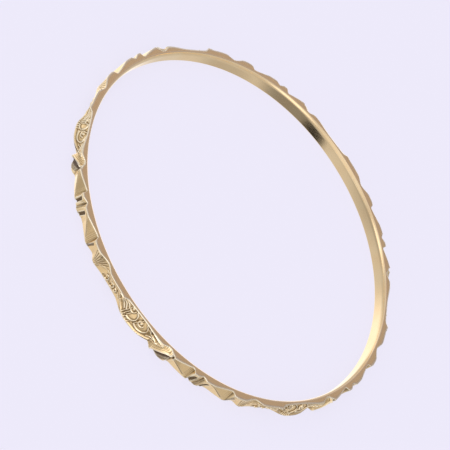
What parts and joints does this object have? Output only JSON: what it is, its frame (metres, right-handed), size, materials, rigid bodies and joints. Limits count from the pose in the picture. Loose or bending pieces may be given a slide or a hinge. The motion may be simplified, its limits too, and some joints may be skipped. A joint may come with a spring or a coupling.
{
  "type": "bangle bracelet",
  "caption": "Slim slip-on bangle: a closed ring with a smooth inner band and a twisted, faceted and scroll-engraved relief round the outside.",
  "frame": {"origin": "centre of the ring, in the plane of its back face, on which it lies", "axes": "+Z along the ring's axis towards the front face; +X through the joint at the start of relief section 1; sections are numbered counter-clockwise seen from +Z"},
  "size_m": [0.0652, 0.0652, 0.0026],
  "materials": {
    "band_gold": "polished",
    "relief_gold": "polished",
    "solder_gold": "polished"
  },
  "bodies": {
    "root": {"inner_band": "band_gold", "relief_section_1": "relief_gold", "relief_section_2": "relief_gold", "relief_section_3": "relief_gold", "relief_section_4": "relief_gold", "relief_section_5": "relief_gold", "relief_section_6": "relief_gold", "butt_solder_1": "solder_gold", "butt_solder_2": "solder_gold", "butt_solder_3": "solder_gold", "butt_solder_4": "solder_gold", "butt_solder_5": "solder_gold", "butt_solder_6": "solder_gold", "front_edge_solder": "solder_gold", "back_edge_solder": "solder_gold"}
  },
  "joints": []
}
